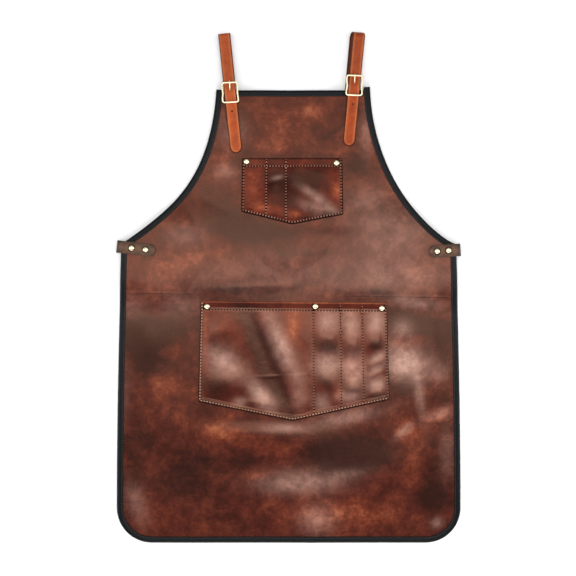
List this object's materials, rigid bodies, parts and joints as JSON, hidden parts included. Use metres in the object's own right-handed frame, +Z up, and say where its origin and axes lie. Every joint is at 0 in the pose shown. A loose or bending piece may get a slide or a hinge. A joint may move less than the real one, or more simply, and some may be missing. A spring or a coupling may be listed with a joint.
{
  "type": "leather work apron",
  "caption": "Leather work apron with bib and tool pockets, bound edges, buckled cross-back shoulder straps and riveted side tabs, laid flat on its back.",
  "frame": {"origin": "middle of the apron's whole extent, on the surface that it lies on", "axes": "+Y from the hem to the shoulder straps, +Z up out of the front of the apron"},
  "size_m": [0.609, 0.9022, 0.0216],
  "materials": {
    "body_leather": "waxed pull-up brown, semi-gloss",
    "pocket_leather": "waxed pull-up brown, glossy",
    "binding_leather": "black, satin",
    "strap_leather": "tan bridle leather, satin",
    "tab_leather": "waxed brown, satin",
    "brass": "pale polished brass"
  },
  "bodies": {
    "root": {"apron_body": "body_leather", "chest_pocket": "pocket_leather", "tool_pocket": "pocket_leather", "tool_pocket_slots": "pocket_leather", "shoulder_strap_left": "strap_leather", "buckle_frame_left": "brass", "buckle_prong_left": "brass", "buckle_anchor_left": "body_leather", "anchor_rivet_left": "brass", "side_tab_left": "tab_leather", "tab_rivet_left_1": "brass", "tab_rivet_left_2": "brass", "binding_armhole_left": "binding_leather", "shoulder_strap_right": "strap_leather", "buckle_frame_right": "brass", "buckle_prong_right": "brass", "buckle_anchor_right": "body_leather", "anchor_rivet_right": "brass", "side_tab_right": "tab_leather", "tab_rivet_right_1": "brass", "tab_rivet_right_2": "brass", "binding_armhole_right": "binding_leather", "binding_top": "binding_leather", "binding_skirt": "binding_leather", "chest_pocket_rivet_1": "brass", "chest_pocket_rivet_2": "brass", "tool_pocket_rivet_1": "brass", "tool_pocket_rivet_2": "brass", "tool_pocket_rivet_3": "brass"}
  },
  "joints": []
}
